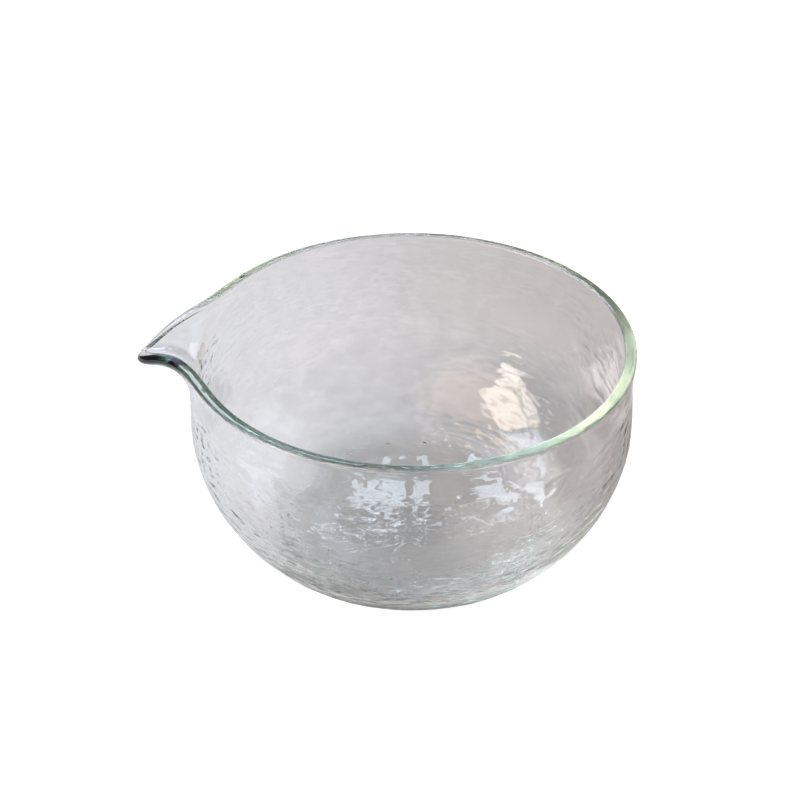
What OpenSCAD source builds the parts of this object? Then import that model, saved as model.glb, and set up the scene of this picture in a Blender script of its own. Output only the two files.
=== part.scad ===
// Mixing bowl with a pouring lip: one piece of clear glass, blown and then pulled out at the rim.
// The bowl's axis is Z, its flat underside lies on z = 0, and the lip points along -X.

/* [Bowl] */
// Outer diameter of the rim
rim_d = 125; // [115:1:180]
// Height of the rim above the table
bowl_h = 67; // [60:1:90]
// Widest outer diameter, at the belly
belly_d = 127; // [125:0.5:184]
// Height of the widest place
belly_h = 42; // [30:1:48]
// Diameter of the flat underside
base_d = 60; // [40:1:74]
// Fullness of the lower wall: 0.55 is an ellipse, less is more conical
fullness = 0.51; // [0.4:0.01:0.65]

/* [Glass] */
// Thickness of the wall
wall_t = 3.3; // [2.4:0.1:4]
// Thickness at the middle of the floor
floor_t = 3.2; // [3:0.1:6]
// Flatness of the floor inside: more is flatter in the middle
floor_flatness = 0.5; // [0.3:0.05:0.7]
// How far the fire-polished rim stands out from the neck below it
bead = 0.4; // [0:0.1:1]
// Height of that bead
bead_h = 4; // [3:0.5:6]
// Height of the rounded edge on top of the rim
edge_h = 1.1; // [0.6:0.1:1.5]

/* [Pouring lip] */
// How far the tip of the lip stands out past the rim
lip_reach = 14.7; // [6:0.1:16]
// How far the tip dips below the rim
lip_dip = 7; // [2:0.5:8]
// Angle from the lip's middle over which its reach fades
lip_spread = 10.3; // [9:0.1:18]
// Angle from the lip's middle over which its dip fades
dip_spread = 7.3; // [7:0.1:16]
// Depth below the rim over which the lip fades into the wall
lip_depth = 4.8; // [4.5:0.1:14]

/* [Fineness] */
// Columns of facets round the bowl
columns = 84; // [48:4:96]
// Rows of facets on the lower wall, below the belly
low_rows = 10; // [6:1:12]
// Rows of facets between the belly and the rim
high_rows = 12; // [8:1:14]
// Rows of facets on the floor inside
floor_rows = 6; // [4:1:8]
// Steps over the rounded edge of the rim
edge_steps = 6; // [4:2:8]

/* [Hidden] */
glass = [0.82, 0.90, 0.88, 0.45];

rim_r = rim_d / 2;
belly_r = belly_d / 2;
base_r = base_d / 2;
neck_r = rim_r - bead;
heel_place = 0.35; // where the inside leaves off following the outside, from 0 at the base to 1
heel_pull = 0.1; // how far the floor's curve goes on in the wall's direction, as a share of its radius
wall_top = bowl_h - edge_h; // where the wall ends and the rounded edge begins
lip_power = 1.5;  // 2 would give the lip a round tip in plan, and less is more pointed
tip_round = 2;    // degrees to each side over which that point is rounded off
fade_power = 1.5; // the same for the lip's fading down the wall
edge_power = 2.6; // 2 rounds the rim's edge as an ellipse, and more makes it flatter on top
crowding = 0.65;  // 0 spaces the columns evenly, and towards 1 they crowd at the lip
row_power = 1.3;  // 1 spaces the rows evenly, and more crowds them at the rim
tip_step = 0.01;  // step of the numeric slopes, in degrees and as a share of the wall

// A hump of height 1 that fades over the given width, with its point rounded off.
function hump(x, width, power = 2, rounded = 0) =
    exp((pow(rounded, power) - pow(x * x + rounded * rounded, power / 2)) / pow(width, power));
function smooth(x) = let (t = max(0, min(1, x))) t * t * (3 - 2 * t);

// A curve with four control points, for t from 0 to 1.
function curve(a, b, c, d, t) = let (s = 1 - t)
    s * s * s * a + 3 * s * s * t * b + 3 * s * t * t * c + t * t * t * d;

// The wall's outer profile, [radius, height], for a place from 0 at the base's edge through 1 at
// the belly to 2 at the rim.
function low_wall(t) = curve(
    [base_r, 0],
    [base_r + fullness * (belly_r - base_r), 0],
    [belly_r, (1 - fullness) * belly_h],
    [belly_r, belly_h],
    t
);
function high_wall(up) = let (z = belly_h + (wall_top - belly_h) * up)
    [belly_r - (belly_r - neck_r) * smooth(up) + bead * hump(wall_top - z, bead_h), z];
function profile(place) = place < 1 ? low_wall(max(place, 0)) : high_wall(place - 1);

// A point of the outer surface. Round the bowl, turn is the angle from the lip's middle.
function outer(turn, place) = let (
    p = profile(place),
    fade = hump(wall_top - p[1], lip_depth, fade_power),
    r = p[0] + lip_reach * hump(turn, lip_spread, lip_power, tip_round) * fade,
    z = p[1] - lip_dip * hump(turn, dip_spread) * fade
) [-r * cos(turn), -r * sin(turn), z];

function unit(v) = v / norm(v);
// The direction up the wall, and the one out of it.
function up_wall(turn, place) = let (step = place < 0.5 ? tip_step : -tip_step)
    unit((outer(turn, place + step) - outer(turn, place)) * sign(step));
function out_of_wall(turn, place) =
    unit(cross(outer(turn + tip_step, place) - outer(turn - tip_step, place), up_wall(turn, place)));

// The inside follows the outside down to the heel. From there it is one curve of its own, to the
// middle of the floor at t = 0, so the glass is a little thicker in the heel.
function inner(turn, place) = outer(turn, place) - wall_t * out_of_wall(turn, place);
heel_way = unit(low_wall(heel_place + tip_step) - low_wall(heel_place - tip_step));
heel_end = low_wall(heel_place) + wall_t * [-heel_way[1], heel_way[0]];
function floor_point(turn, t) = let (p = curve(
    [0, floor_t],
    [floor_flatness * heel_end[0], floor_t],
    heel_end - heel_pull * heel_end[0] * heel_way,
    heel_end,
    t
)) [-p[0] * cos(turn), -p[0] * sin(turn), p[1]];

// A point on the rounded edge, from 0 at the outside to 180 at the inside.
function power(x, n) = sign(x) * pow(abs(x), n);
function edge(turn, sweep) =
    outer(turn, 2)
    + out_of_wall(turn, 2) * wall_t / 2 * (power(cos(sweep), 2 / edge_power) - 1)
    + up_wall(turn, 2) * edge_h * power(sin(sweep), 2 / edge_power);

turns = [for (i = [0:columns - 1]) let (even = i * 360 / columns - 180)
    even - crowding * (180 / PI) * sin(even)];
low_places = [for (i = [0:low_rows - 1]) i / low_rows];
high_places = [for (i = [0:high_rows]) 2 - pow(1 - i / high_rows, row_power)];
places = concat(low_places, high_places);
inner_places = [for (i = [len(places) - 1:-1:0]) if (places[i] > heel_place + tip_step) places[i]];
sweeps = [for (i = [1:edge_steps - 1]) 180 * i / edge_steps];

// Rows of points from the base's edge up the outside, over the rim and down the inside.
rows = concat(
    [for (p = places) [for (t = turns) outer(t, p)]],
    [for (s = sweeps) [for (t = turns) edge(t, s)]],
    [for (p = inner_places) [for (t = turns) inner(t, p)]],
    [for (i = [floor_rows:-1:1]) [for (t = turns) floor_point(t, i / floor_rows)]]
);

// A closed skin over rows of points, with a flat face at each end.
module skin(rows) {
    n = len(rows[0]);
    count = len(rows);
    sides = [for (j = [0:count - 2], i = [0:n - 1], half = [0, 1]) let (
        a = j * n + i,
        b = j * n + (i + 1) % n,
        c = b + n,
        d = a + n
    ) half == 0 ? [a, c, b] : [a, d, c]];
    first_face = [for (i = [0:n - 1]) i];
    last_face = [for (i = [n - 1:-1:0]) (count - 1) * n + i];
    polyhedron([for (row = rows) each row], concat([first_face], sides, [last_face]), convexity = 8);
}

module bowl() color(glass) skin(rows);

bowl();
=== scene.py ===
# Mixing bowl with a pouring lip, in one piece of clear glass, on a pale studio floor.
# Lengths are in metres. The bowl's axis is Z, it stands on z = 0, and its lip points along -X.
import math
import bpy
import numpy as np
from mathutils import Matrix, Quaternion, Vector, noise


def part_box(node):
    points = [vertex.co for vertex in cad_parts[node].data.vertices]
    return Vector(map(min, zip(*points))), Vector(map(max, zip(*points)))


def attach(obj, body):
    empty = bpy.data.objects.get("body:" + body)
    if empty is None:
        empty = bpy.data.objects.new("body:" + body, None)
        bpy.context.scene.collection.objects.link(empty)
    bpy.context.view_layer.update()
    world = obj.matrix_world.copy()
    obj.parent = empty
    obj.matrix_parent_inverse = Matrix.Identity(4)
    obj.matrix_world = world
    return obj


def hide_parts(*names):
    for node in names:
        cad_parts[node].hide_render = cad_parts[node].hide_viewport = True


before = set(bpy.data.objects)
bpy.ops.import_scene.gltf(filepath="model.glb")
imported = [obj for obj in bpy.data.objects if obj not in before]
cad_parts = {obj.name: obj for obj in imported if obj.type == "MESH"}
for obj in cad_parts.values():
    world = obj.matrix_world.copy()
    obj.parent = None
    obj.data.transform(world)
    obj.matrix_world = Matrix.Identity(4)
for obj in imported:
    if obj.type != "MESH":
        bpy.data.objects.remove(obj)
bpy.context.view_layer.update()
MM = 0.001

# ---- Sizes, from the frame's box and from the glass itself -------------------------------------
LOW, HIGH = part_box("bowl")
BELLY_PAST_RIM = 1.0 * MM  # by which the belly's radius is more than the rim's
TOP_SLACK = 0.2 * MM   # by which the rim stays below the top of the box
TIP_SLACK = 0.4 * MM   # by which the lip's tip, which is rounded, falls short of the box's side
BELLY_R = (HIGH.y - LOW.y) / 2
RIM_R = BELLY_R - BELLY_PAST_RIM
BOWL_H = HIGH.z - TOP_SLACK
LIP_REACH = -LOW.x - RIM_R - TIP_SLACK
BELLY_Z = 42 * MM
BASE_R = 30 * MM
FULLNESS = 0.51        # of the lower wall: 0.55 is an ellipse, less is more conical
WALL_T = 3.3 * MM
FLOOR_T = 3.2 * MM     # thickness at the middle of the floor
FLATNESS = 0.5         # of the floor inside: more is flatter in the middle
HEEL_PLACE = 0.35      # where the inside leaves off following the outside, from 0 at the base to 1
HEEL_PULL = 0.1        # how far the floor's curve goes on in the wall's direction, as a share of
                       # its radius
BEAD = 0.4 * MM        # how far the rim stands out from the neck below it
BEAD_H = 4 * MM        # height of that bead
EDGE_H = 1.1 * MM      # height of the rounded edge on top of the rim
EDGE_POWER = 2.6       # 2 rounds the edge as an ellipse, and more makes it flatter on top
LIP_DIP = 7 * MM
LIP_SPREAD = 10.3      # degrees from the lip's middle over which its reach fades
DIP_SPREAD = 7.3       # the same for its dip
LIP_DEPTH = 4.8 * MM   # depth below the rim over which the lip fades into the wall
LIP_POWER = 1.5        # 2 would give the lip a round tip in plan, and less is more pointed
TIP_ROUND = 2          # degrees to each side over which that point is rounded off
FADE_POWER = 1.5       # the same for the lip's fading down the wall
SLOPE_STEP = 0.01      # step of the numeric slopes, in degrees and as a share of the wall
WALL_TOP = BOWL_H - EDGE_H

# ---- Fineness of the mesh ----------------------------------------------------------------------
COLUMNS = 360
OUTER_ROWS = 160
INNER_ROWS = 78        # of the inside of the wall
FLOOR_ROWS = 16        # of the floor inside
EDGE_STEPS = 12
BASE_RINGS = 12        # of the underside
CROWDING = 0.2         # 0 spaces the columns evenly, and towards 1 they crowd at the lip
PROFILE_POINTS = 2001  # for measuring the length of the wall's outline

# ---- Dents in the outside ----------------------------------------------------------------------
DIMPLE_LENGTH = 4.5 * MM  # along the wall's circumference
DIMPLE_HEIGHT = 2.4 * MM  # up the wall
DIMPLE_DEPTH = 0.17 * MM
RIPPLE_LENGTH = 2.6 * MM  # the same for the finer ripples in them
RIPPLE_HEIGHT = 1.1 * MM
RIPPLE_DEPTH = 0.16 * MM
SWELL_SIZE = 10 * MM      # the slower waves under the dents
SWELL_DEPTH = 0.28 * MM
SMOOTH_BAND = 5 * MM      # the fire-polished band under the rim, without dents
FADE_BAND = 6 * MM        # over which the dents come in below it
BASE_BAND = 9 * MM        # over which they come in above the flat underside
LOW_BAND = 26 * MM        # below this, up along the wall, the dents get deeper
LOW_EXTRA = 3.5           # how much deeper at the very bottom, as a share
MEAN_DEPTH = 0.36 * MM    # the dents' mean depth. The low wall is raised by its extra share of that,
FOOT_CLEAR = 1 * MM       # to keep its shape, but not this near the foot, to keep off the table,
FOOT_FADE = 8 * MM        # and the raising comes in over this much of the wall

# ---- Slight unevenness of the other faces ------------------------------------------------------
WAVE_SIZE = 2.6 * MM      # across one wave
WALL_WAVE = 0.065 * MM    # of the inside of the wall
FLOOR_WAVE = 0.015 * MM   # of the floor inside
UNDER_WAVE = 0.25 * MM    # of the underside, upwards from the resting plane
RIM_WAVE = 0.16 * MM      # of the rim's rounded edge, down from its highest
RIM_WAVE_SIZE = 4 * MM
WAVE_FADE = 0.2           # over which the waves come in, as a share of the wall or of the floor

# ---- Light and floor ---------------------------------------------------------------------------
FLOOR_HALF = 30.0                      # half the width of the floor
FLOOR_GAP = 0.05 * MM                  # between the floor and the bowl, so that no faces coincide
MAX_BOUNCES = 32                       # enough for light to get along inside the thick rim
LIGHT_DISTANCE = 2.5                   # from the bowl to each softbox
WORLD = (0.10, 0.095, 0.085, 1)        # the studio's wall in the glass
FLOOR_GLOW = 1.0                       # strength of the table top's glow: even to the camera, painted light in the glass
SEEN_COLOUR = (0.35, 0.35, 0.35, 1)    # the table top as the camera sees it
SEEN_GLOW = (0.85, 0.85, 0.85, 1)
SEEN_WALL = (1.0, 1.0, 1.0, 1)         # the studio's wall as the camera sees it
COOL_LIT_TONE = (0.366, 0.388, 0.418, 1)   # the table top's grey in the glass, on the lip's side, with painted light
WARM_SHADED_TONE = (0.229, 0.207, 0.195, 1)   # and on the other side, with painted shade
TONE_REACH = 120 * MM                  # how far out from the bowl's axis the tones go on changing
MOTTLE_SCALE = 130.0                   # of the mottling, per metre
MOTTLE = 0.07                          # the mottling's strength, as a share of the brightness
MOTTLE_FROM, MOTTLE_TO = 0.3, 0.7      # the part of the noise's range that it uses
POOLS = (                              # pools of shade or light: centre, the radii over which
                                       # each fades, and its brightness
    (-4 * MM, 0, 8 * MM, 24 * MM, 0.80),
    (-45 * MM, 32 * MM, 10 * MM, 45 * MM, 1.12),
    (36 * MM, -29 * MM, 3 * MM, 17 * MM, 1.45),
    (34 * MM, -8 * MM, 8 * MM, 34 * MM, 1.25),
    (-35 * MM, 105 * MM, 20 * MM, 95 * MM, 1.10),
    (26 * MM, 64 * MM, 5 * MM, 34 * MM, 0.86),
    (88 * MM, 82 * MM, 8 * MM, 26 * MM, 1.9),
    (68 * MM, 60 * MM, 3 * MM, 13 * MM, 0.70),
    (-82 * MM, 70 * MM, 6 * MM, 19 * MM, 0.78),
    (-10 * MM, -52 * MM, 12 * MM, 34 * MM, 0.80),
    (-38 * MM, -4 * MM, 6 * MM, 20 * MM, 1.15),
    (-2 * MM, 46 * MM, 6 * MM, 24 * MM, 1.12),
    (40 * MM, 34 * MM, 4 * MM, 14 * MM, 1.45),
)
PAINTED_FOOT_BANDS = (                              # painted bands of shadow and caustic light round the foot: the radii over which each comes and goes, where it is strongest, the distances from there over which it fades, and its brightness. All but the last in mm
                                       # goes, where it is strongest, the distances from there over
                                       # which it fades, and its brightness. All but the last in mm
    (41, 42, 45, 46, -16, -42, 28, 46, 0.42),
    (47, 48, 50, 51, -16, -46, 28, 46, 1.20),
    (52, 53, 56, 57, -16, -52, 26, 44, 0.48),
    (58, 59, 61, 62, -16, -56, 26, 44, 1.15),
    (42, 43, 45, 46, 34, -32, 16, 40, 0.60),
    (48, 49, 54, 56, 36, -42, 20, 46, 1.45),
    (57, 58, 60, 61, 38, -44, 16, 40, 0.65),
)
GLOW_AT = (-131, 41)                   # azimuth and rise of the bright part of the studio's wall
GLOW_REACH = 40                        # degrees over which it fades
WALL_GLOW = (2.7, 2.05, 1.6, 1)        # its colour at the brightest


def smooth(x):
    """A smooth step from 0 to 1."""
    t = np.clip(x, 0, 1)
    return t * t * (3 - 2 * t)


def hump(x, width, power=2, rounded=0):
    """A hump of height 1 that fades over the given width, with its point rounded off."""
    return np.exp((rounded ** power - (x * x + rounded * rounded) ** (power / 2)) / width ** power)


def profile(place):
    """Radius and height of the outer wall, from 0 at the base's edge through 1 at the belly to 2."""
    t = np.clip(place, 0, 1)
    s = 1 - t
    low_r = (s ** 3 * BASE_R + 3 * s * s * t * (BASE_R + FULLNESS * (BELLY_R - BASE_R))
             + (3 * s * t * t + t ** 3) * BELLY_R)
    low_z = (3 * s * t * t * (1 - FULLNESS) + t ** 3) * BELLY_Z
    up = place - 1
    high_z = BELLY_Z + (WALL_TOP - BELLY_Z) * up
    neck_r = RIM_R - BEAD
    high_r = BELLY_R - (BELLY_R - neck_r) * smooth(up) + BEAD * hump(WALL_TOP - high_z, BEAD_H)
    return np.where(place < 1, low_r, high_r), np.where(place < 1, low_z, high_z)


def outer(turn, place):
    """A point of the outer wall. turn is in degrees, round from the lip's middle."""
    r, z = profile(place)
    fade = hump(np.maximum(WALL_TOP - z, 0), LIP_DEPTH, FADE_POWER)
    r = r + LIP_REACH * hump(turn, LIP_SPREAD, LIP_POWER, TIP_ROUND) * fade
    z = z - LIP_DIP * hump(turn, DIP_SPREAD) * fade
    a = np.radians(turn)
    return np.stack([-r * np.cos(a), -r * np.sin(a), z], axis=-1)


def unit(v):
    return v / np.linalg.norm(v, axis=-1, keepdims=True)


def up_wall(turn, place):
    step = np.where(place < 0.5, SLOPE_STEP, -SLOPE_STEP)
    return unit((outer(turn, place + step) - outer(turn, place)) * np.sign(step)[..., None])


def out_of_wall(turn, place):
    along = outer(turn + SLOPE_STEP, place) - outer(turn - SLOPE_STEP, place)
    return unit(np.cross(along, up_wall(turn, place)))


def inner(turn, place):
    """A point of the inside at or above the heel, where it follows the outside."""
    return outer(turn, place) - WALL_T * out_of_wall(turn, place)


def floor_point(turn, t):
    """A point of the floor inside, from the middle at t = 0 to the heel at t = 1."""
    way = unit(np.subtract(profile(HEEL_PLACE + SLOPE_STEP), profile(HEEL_PLACE - SLOPE_STEP)))
    end = np.array(profile(HEEL_PLACE)) + WALL_T * np.array([-way[1], way[0]])
    pulled = end - HEEL_PULL * end[0] * way
    middle, flat = np.array([0, FLOOR_T]), np.array([FLATNESS * end[0], FLOOR_T])
    s = 1 - t
    r, z = s ** 3 * middle + 3 * s * s * t * flat + 3 * s * t * t * pulled + t ** 3 * end
    a = np.radians(turn)
    return np.stack([-r * np.cos(a), -r * np.sin(a), np.full_like(turn, z)], axis=-1)


def rounded(x, power):
    """A power of x that keeps its sign."""
    return np.sign(x) * np.abs(x) ** power


def edge(turn, sweep):
    """A point on the rounded edge, from 0 degrees at the outside to 180 at the inside."""
    top = np.full_like(turn, 2.0)
    a = math.radians(sweep)
    inward = WALL_T / 2 * (rounded(math.cos(a), 2 / EDGE_POWER) - 1)
    rise = EDGE_H * rounded(math.sin(a), 2 / EDGE_POWER)
    return outer(turn, top) + out_of_wall(turn, top) * inward + up_wall(turn, top) * rise


def dents(points, climb):
    """Depth of the dents at each point of one row of the outer wall, climb metres up along it."""
    depth = []
    for x, y, _ in points:
        cell = Vector((x / DIMPLE_LENGTH, y / DIMPLE_LENGTH, climb / DIMPLE_HEIGHT))
        fine = Vector((x / RIPPLE_LENGTH, y / RIPPLE_LENGTH, climb / RIPPLE_HEIGHT))
        wide = Vector((x / SWELL_SIZE, y / SWELL_SIZE, climb / SWELL_SIZE))
        nearest = noise.voronoi(cell)[0][0]
        depth.append(DIMPLE_DEPTH * (1 - min(nearest, 1) ** 2)
                     + RIPPLE_DEPTH * (0.5 + 0.5 * noise.noise(fine))
                     + SWELL_DEPTH * (0.5 + 0.5 * noise.noise(wide)))
    return np.array(depth)


def waves(points, size):
    """Slow unevenness from 0 to 1 at each point of a row."""
    return np.array([0.5 + 0.5 * noise.noise(Vector(point) / size) for point in points])


def wall_places():
    """Places for the outer rows, evenly spaced along the wall, and how far up the wall each is."""
    fine = np.linspace(0, 2, PROFILE_POINTS)
    r, z = profile(fine)
    length = np.concatenate([[0], np.cumsum(np.hypot(np.diff(r), np.diff(z)))])
    climb = np.linspace(0, length[-1], OUTER_ROWS)
    return np.interp(climb, length, fine), climb, length[-1]


def bowl_rows():
    even = np.arange(COLUMNS) * 360 / COLUMNS - 180
    turn = even - CROWDING * (180 / math.pi) * np.sin(np.radians(even))
    places, climbs, top = wall_places()
    rows = []
    for place, climb in zip(places, climbs):
        at = np.full_like(turn, place)
        points = outer(turn, at)
        amount = smooth((top - climb - SMOOTH_BAND) / FADE_BAND) * smooth(climb / BASE_BAND)
        extra = LOW_EXTRA * (1 - smooth(climb / LOW_BAND)) * smooth(climb / BASE_BAND)
        if amount > 0:
            raised = extra * MEAN_DEPTH * smooth((climb - FOOT_CLEAR) / FOOT_FADE)
            depth = dents(points, climb) * (amount + extra) - raised
            points = points - out_of_wall(turn, at) * depth[:, None]
        rows.append(points)
    for step in range(1, EDGE_STEPS):
        sweep = 180 * step / EDGE_STEPS
        points = edge(turn, sweep)
        sag = RIM_WAVE * math.sin(math.radians(sweep)) * waves(points, RIM_WAVE_SIZE)
        rows.append(points - up_wall(turn, np.full_like(turn, 2.0)) * sag[:, None])
    for place in np.linspace(2, HEEL_PLACE, INNER_ROWS):
        at = np.full_like(turn, place)
        points = inner(turn, at)
        depth = WALL_WAVE * smooth((2 - place) / WAVE_FADE) * waves(points, WAVE_SIZE)
        rows.append(points + out_of_wall(turn, at) * depth[:, None])
    for t in np.linspace(1, 0, FLOOR_ROWS + 1)[1:-1]:
        points = floor_point(turn, t)
        share = WALL_WAVE + (FLOOR_WAVE - WALL_WAVE) * smooth((1 - t) / WAVE_FADE)
        points[:, 2] -= share * waves(points, WAVE_SIZE)
        rows.append(points)
    return rows


def skin(name, rows, last_point):
    """A closed mesh over rows of points. The first row is the resting edge, with a slightly uneven
    disc inside it, and the last row is closed to last_point."""
    under_centre = rows[0].mean(axis=0)
    under = [under_centre + (rows[0] - under_centre) * k / BASE_RINGS for k in range(1, BASE_RINGS)]
    for points in under:
        points[:, 2] += UNDER_WAVE * waves(points, WAVE_SIZE)
    rows = under + rows
    points = np.concatenate(rows + [under_centre[None], last_point[None]])
    n, count = len(rows[0]), len(rows)
    i = np.arange(n)
    j = (i + 1) % n
    quads = np.concatenate([np.stack([k * n + i, k * n + j, (k + 1) * n + j, (k + 1) * n + i], axis=1)
                            for k in range(count - 1)])
    first = np.stack([np.full(n, count * n), j, i], axis=1)
    final = (count - 1) * n
    last = np.stack([np.full(n, count * n + 1), final + i, final + j], axis=1)
    mesh = bpy.data.meshes.new(name)
    mesh.from_pydata(points.tolist(), [], quads.tolist() + first.tolist() + last.tolist())
    mesh.polygons.foreach_set("use_smooth", [True] * len(mesh.polygons))
    mesh.update()
    piece = bpy.data.objects.new(name, mesh)
    bpy.context.collection.objects.link(piece)
    return piece


# ---- Materials ---------------------------------------------------------------------------------
def glass_material():
    material = bpy.data.materials.new("clear_glass")
    material.use_nodes = True
    nodes, links = material.node_tree.nodes, material.node_tree.links
    shader = nodes["Principled BSDF"]
    shader.inputs["Base Color"].default_value = (1, 1, 1, 1)
    shader.inputs["Roughness"].default_value = 0.0
    shader.inputs["IOR"].default_value = 1.5
    shader.inputs["Transmission Weight"].default_value = 1.0
    absorb = nodes.new("ShaderNodeVolumeAbsorption")
    absorb.inputs["Color"].default_value = (0.46, 0.74, 0.60, 1)
    absorb.inputs["Density"].default_value = 5.5
    links.new(absorb.outputs["Volume"], nodes["Material Output"].inputs["Volume"])
    return material


def floor_material():
    """A table top that glows. The camera sees it plain and pale, and evenly bright. In and through the
    glass it is a soft grey instead, and its colour and glow there carry painted light and shade: lighter
    and cooler on the lip's side and darker and warmer on the other, with a slight mottling, and with
    the painted pools and bands of shade and light."""
    material = bpy.data.materials.new("pale_floor")
    material.use_nodes = True
    nodes, links = material.node_tree.nodes, material.node_tree.links
    shader = nodes["Principled BSDF"]
    shader.inputs["Roughness"].default_value = 0.9
    shader.inputs["Specular IOR Level"].default_value = 0.0
    place = nodes.new("ShaderNodeTexCoord")
    split = nodes.new("ShaderNodeSeparateXYZ")
    links.new(place.outputs["Object"], split.inputs["Vector"])
    # painted light and shade across the table top: lighter and cooler on the lip's side, darker and
    # warmer on the other
    across = nodes.new("ShaderNodeMapRange")
    across.inputs["From Min"].default_value = -TONE_REACH
    across.inputs["From Max"].default_value = TONE_REACH
    links.new(split.outputs["X"], across.inputs["Value"])
    lit_and_shaded_tone = mix(nodes, links, across.outputs["Result"], COOL_LIT_TONE, WARM_SHADED_TONE)
    mottle = nodes.new("ShaderNodeTexNoise")
    mottle.inputs["Scale"].default_value = MOTTLE_SCALE
    mottle.inputs["Detail"].default_value = 3.0
    links.new(place.outputs["Object"], mottle.inputs["Vector"])
    amount = nodes.new("ShaderNodeMapRange")
    amount.inputs["From Min"].default_value = MOTTLE_FROM
    amount.inputs["From Max"].default_value = MOTTLE_TO
    amount.inputs["To Min"].default_value = 1 - MOTTLE
    amount.inputs["To Max"].default_value = 1 + MOTTLE
    links.new(mottle.outputs["Fac"], amount.inputs["Value"])
    # the mottling, times the painted shadow and caustic light of the bands round the foot and the painted
    # pools of shade and light
    light = amount.outputs["Result"]
    for band in PAINTED_FOOT_BANDS:
        light = times(nodes, links, light, painted_foot_band(nodes, links, place.outputs["Object"], *band))
    for x, y, full, none, left in POOLS:
        away = distance(nodes, links, place.outputs["Object"], (x, y, 0))
        light = times(nodes, links, light, ramp(nodes, links, away, full, none, left, 1))
    # the grey, times the mottling and the painted light and shade
    mottled_grey_with_painted_light = nodes.new("ShaderNodeVectorMath")
    mottled_grey_with_painted_light.operation = "SCALE"
    links.new(lit_and_shaded_tone, mottled_grey_with_painted_light.inputs[0])
    links.new(light, mottled_grey_with_painted_light.inputs["Scale"])
    unseen = mottled_grey_with_painted_light.outputs["Vector"]
    seen = nodes.new("ShaderNodeLightPath").outputs["Is Camera Ray"]
    links.new(mix(nodes, links, seen, unseen, SEEN_COLOUR), shader.inputs["Base Color"])
    # the glow: even to the camera, and in the glass painted light with its painted shade
    links.new(mix(nodes, links, seen, unseen, SEEN_GLOW), shader.inputs["Emission Color"])
    shader.inputs["Emission Strength"].default_value = FLOOR_GLOW
    return material


def painted_foot_band(nodes, links, place, start, full, leave, end, x, y, near, far, brightness):
    """Part of a ring round the bowl's axis, darker or lighter than the rest of the floor: painted
    shadow where it is darker, painted caustic light where it is lighter.
    """
    away = distance(nodes, links, place, (0, 0, 0))
    ring = times(nodes, links, ramp(nodes, links, away, start * MM, full * MM, 0, 1),
                 ramp(nodes, links, away, leave * MM, end * MM, 1, 0))
    along = distance(nodes, links, place, (x * MM, y * MM, 0))
    amount = times(nodes, links, ring, ramp(nodes, links, along, near * MM, far * MM, 1, 0))
    return ramp(nodes, links, amount, 0, 1, 1, brightness)


def distance(nodes, links, place, point):
    """How far the place on a surface is from a point."""
    node = nodes.new("ShaderNodeVectorMath")
    node.operation = "DISTANCE"
    links.new(place, node.inputs[0])
    node.inputs[1].default_value = point
    return node.outputs["Value"]


def ramp(nodes, links, value, start, end, low, high):
    """A smooth step from low, where the value is at start, to high, where it is at end."""
    node = nodes.new("ShaderNodeMapRange")
    node.interpolation_type = "SMOOTHSTEP"
    for name, number in (("From Min", start), ("From Max", end), ("To Min", low), ("To Max", high)):
        node.inputs[name].default_value = number
    links.new(value, node.inputs["Value"])
    return node.outputs["Result"]


def times(nodes, links, first, second):
    """The product of two sockets."""
    node = nodes.new("ShaderNodeMath")
    node.operation = "MULTIPLY"
    links.new(first, node.inputs[0])
    links.new(second, node.inputs[1])
    return node.outputs["Value"]


def mix(nodes, links, factor, first, second):
    """A colour between two, each given as a colour or as a socket."""
    node = nodes.new("ShaderNodeMix")
    node.data_type = "RGBA"
    links.new(factor, node.inputs["Factor"])
    for name, value in (("A", first), ("B", second)):
        if isinstance(value, tuple):
            node.inputs[name].default_value = value
        else:
            links.new(value, node.inputs[name])
    return node.outputs["Result"]


# ---- The studio --------------------------------------------------------------------------------
def make_floor():
    mesh = bpy.data.meshes.new("floor")
    corners = [(x * FLOOR_HALF, y * FLOOR_HALF, 0) for x, y in ((-1, -1), (1, -1), (1, 1), (-1, 1))]
    mesh.from_pydata(corners, [], [(0, 1, 2, 3)])
    piece = bpy.data.objects.new("floor", mesh)
    piece.location.z = -FLOOR_GAP
    piece.data.materials.append(floor_material())
    bpy.context.collection.objects.link(piece)


def direction(azimuth, rise):
    """The way from the bowl, in degrees, with azimuth 0 behind the bowl and 90 on its right."""
    a, e = math.radians(azimuth), math.radians(rise)
    return Vector((math.sin(a) * math.cos(e), math.cos(a) * math.cos(e), math.sin(e)))


def softbox(name, azimuth, rise, width, height, colour, roll=0):
    """A softbox aimed at the bowl. Its place and its size are in degrees, seen from the bowl, and
    its colour is how bright it looks."""
    away = direction(azimuth, rise)
    light = bpy.data.lights.new(name, "AREA")
    light.shape = "RECTANGLE"
    light.size = 2 * LIGHT_DISTANCE * math.tan(math.radians(width / 2))
    light.size_y = 2 * LIGHT_DISTANCE * math.tan(math.radians(height / 2))
    light.color = [c / max(colour) for c in colour]
    light.energy = math.pi * light.size * light.size_y * max(colour)
    piece = bpy.data.objects.new(name, light)
    piece.location = Vector((0, 0, BOWL_H / 2)) + LIGHT_DISTANCE * away
    aim = (-away).to_track_quat("-Z", "Y") @ Quaternion((0, 0, 1), math.radians(roll))
    piece.rotation_euler = aim.to_euler()
    bpy.context.collection.objects.link(piece)


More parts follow.
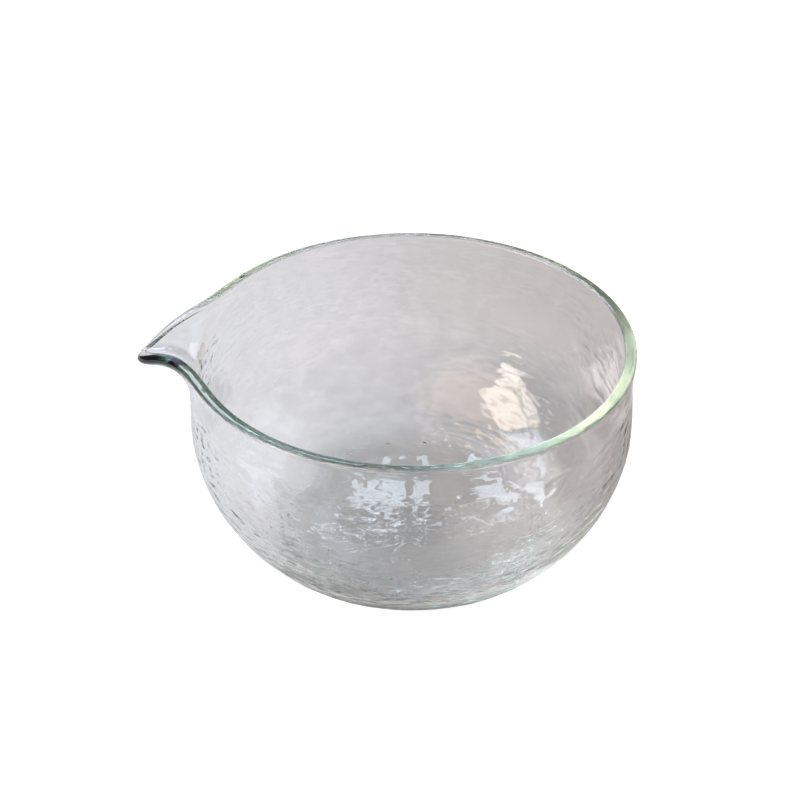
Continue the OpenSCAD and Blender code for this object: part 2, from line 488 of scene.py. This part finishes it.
def make_lights():
    softbox("key", -108, 30, 33, 29, (5.4, 4.8, 4.1), roll=-24)
    softbox("low_key", -120, 10, 13, 8, (8.5, 7.8, 6.8))
    softbox("left_window", -71, 43, 22, 26, (2.6, 3.1, 3.8))
    softbox("back_left", -27, 39, 22, 40, (1.0, 1.2, 1.6))
    softbox("pane_1", 1.5, 42.5, 1.9, 8, (4.6, 5.4, 6.2))
    softbox("pane_2", -7.6, 43.5, 3.4, 6, (5.5, 6.3, 7.2))
    softbox("pane_3", -28, 42, 22, 9, (6.0, 6.6, 7.2))
    softbox("pane_4", -3.4, 37.2, 1.6, 1.8, (3.5, 4.0, 4.6))
    softbox("pane_5", -7.2, 37, 2.0, 1.6, (3.5, 4.0, 4.6))
    softbox("back_low", -15, 11, 30, 18, (1.1, 1.3, 1.5))
    softbox("fill", 45, 21, 30, 38, (1.5, 1.4, 1.8))
    softbox("right", 75, 21, 30, 38, (0.4, 0.6, 0.7))


def make_world():
    """The studio's wall. The camera sees it pale. In the glass it is dim, with one bright part."""
    world = bpy.data.worlds.new("studio")
    world.use_nodes = True
    nodes, links = world.node_tree.nodes, world.node_tree.links
    background = nodes["Background"]
    place = nodes.new("ShaderNodeTexCoord")
    toward = nodes.new("ShaderNodeVectorMath")
    toward.operation = "DOT_PRODUCT"
    links.new(place.outputs["Generated"], toward.inputs[0])
    toward.inputs[1].default_value = direction(*GLOW_AT)
    glow = ramp(nodes, links, toward.outputs["Value"], math.cos(math.radians(GLOW_REACH)), 1, 0, 1)
    seen = nodes.new("ShaderNodeLightPath").outputs["Is Camera Ray"]
    wall = mix(nodes, links, glow, WORLD, WALL_GLOW)
    links.new(mix(nodes, links, seen, wall, SEEN_WALL), background.inputs["Color"])
    background.inputs["Strength"].default_value = 1.0
    bpy.context.scene.world = world


def set_light_paths():
    cycles = bpy.context.scene.cycles
    cycles.max_bounces = cycles.glossy_bounces = cycles.transmission_bounces = MAX_BOUNCES


def make_camera():
    """The camera is placed round the centre of the rim, in rim radii and radians."""
    distance, rise, pitch, yaw = 6.247 * RIM_R, 0.5551, 0.6011, -0.0098
    centre = Vector((0, 0, BOWL_H))
    place = centre + distance * Vector((0, -math.cos(rise), math.sin(rise)))
    forward = Vector((math.sin(yaw) * math.cos(pitch), math.cos(yaw) * math.cos(pitch), -math.sin(pitch)))
    right = Vector((math.cos(yaw), -math.sin(yaw), 0))
    up = right.cross(forward)
    data = bpy.data.cameras.new("camera")
    data.lens = 62.8
    data.sensor_width = 36
    data.clip_start = 0.01
    piece = bpy.data.objects.new("camera", data)
    turn = Matrix((right, up, -forward)).transposed().to_4x4()
    piece.matrix_world = Matrix.Translation(place) @ turn
    bpy.context.collection.objects.link(piece)
    bpy.context.scene.camera = piece


def make_bowl():
    piece = skin("glass_bowl", bowl_rows(), np.array([0, 0, FLOOR_T]))
    piece.data.materials.append(glass_material())
    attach(piece, "root")
    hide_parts("bowl")


make_camera()
make_bowl()
make_floor()
make_world()
set_light_paths()
make_lights()
bpy.context.scene.view_settings.view_transform = "Standard"
